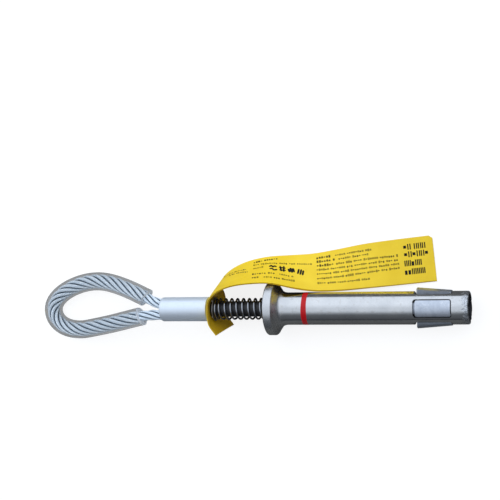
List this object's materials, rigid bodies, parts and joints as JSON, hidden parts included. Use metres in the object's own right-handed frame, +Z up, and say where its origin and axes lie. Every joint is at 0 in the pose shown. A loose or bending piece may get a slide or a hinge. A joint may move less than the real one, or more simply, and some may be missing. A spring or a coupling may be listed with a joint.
{
  "type": "removable wedge concrete anchor",
  "caption": "Spring-loaded expansion sleeve with sliding wedges on a wire rope eye, used as a reusable tie-off anchor in a drilled hole.",
  "frame": {"origin": "on the floor, under the middle of the bounding box", "axes": "+X along the anchor towards its wedge tip, +Z up, object lying on the floor as in the picture"},
  "size_m": [0.2699, 0.0595, 0.031],
  "materials": {
    "sleeve_steel": "turned stainless steel, lightly scratched",
    "wedge_steel": "matt blasted steel with scuffs",
    "mandrel_steel": "machined",
    "ferrule_alloy": "satin, pressed",
    "rope_steel": "bright galvanised wire",
    "clear_pvc": "clear tube, glossy",
    "spring_steel": "black, glossy",
    "washer_steel": "zinc plated",
    "liner_plastic": "black sleeve",
    "red_paint": "red enamel",
    "yellow_vinyl": "yellow vinyl, black print"
  },
  "bodies": {
    "rope_assembly": {"wire_rope": "rope_steel", "swage_ferrule": "ferrule_alloy", "clear_tube": "clear_pvc", "rope_liner": "liner_plastic", "spring_washer": "washer_steel", "return_spring": "spring_steel", "expander_mandrel": "mandrel_steel"},
    "sleeve": {"anchor_sleeve": "sleeve_steel", "depth_band": "red_paint"},
    "wedge_top_body": {"wedge_top": "wedge_steel"},
    "wedge_left_body": {"wedge_left": "wedge_steel"},
    "wedge_bottom_body": {"wedge_bottom": "wedge_steel"},
    "wedge_right_body": {"wedge_right": "wedge_steel"},
    "label": {"label_front": "yellow_vinyl", "label_back": "yellow_vinyl"}
  },
  "joints": [
    {"name": "sleeve_slide", "type": "slide", "parent": "rope_assembly", "child": "sleeve", "axis": [-0.9989, 0, 0.0468], "range_m": [0, 0.016], "stiffness_N_per_m": 1200, "springref_m": -0.01, "deforming": ["return_spring"]},
    {"name": "wedge_top_slide", "type": "slide", "parent": "sleeve", "child": "wedge_top_body", "axis": [-0.0468, 0, -0.9989], "range_m": [0, 0.00211]},
    {"name": "wedge_left_slide", "type": "slide", "parent": "sleeve", "child": "wedge_left_body", "axis": [0, -1, 0], "range_m": [0, 0.00211]},
    {"name": "wedge_bottom_slide", "type": "slide", "parent": "sleeve", "child": "wedge_bottom_body", "axis": [0.0468, 0, 0.9989], "range_m": [0, 0.00211]},
    {"name": "wedge_right_slide", "type": "slide", "parent": "sleeve", "child": "wedge_right_body", "axis": [0, 1, 0], "range_m": [0, 0.00211]},
    {"name": "label_swivel", "type": "hinge", "parent": "rope_assembly", "child": "label", "pos_m": [-0.01651, -0.01105, 0.01726], "axis": [0.9989, 0, -0.0468], "continuous": true}
  ],
  "couplings": [
    {"joint": "wedge_top_slide", "follows": "sleeve_slide", "ratio": 0.1313},
    {"joint": "wedge_left_slide", "follows": "sleeve_slide", "ratio": 0.1313},
    {"joint": "wedge_bottom_slide", "follows": "sleeve_slide", "ratio": 0.1313},
    {"joint": "wedge_right_slide", "follows": "sleeve_slide", "ratio": 0.1313}
  ]
}
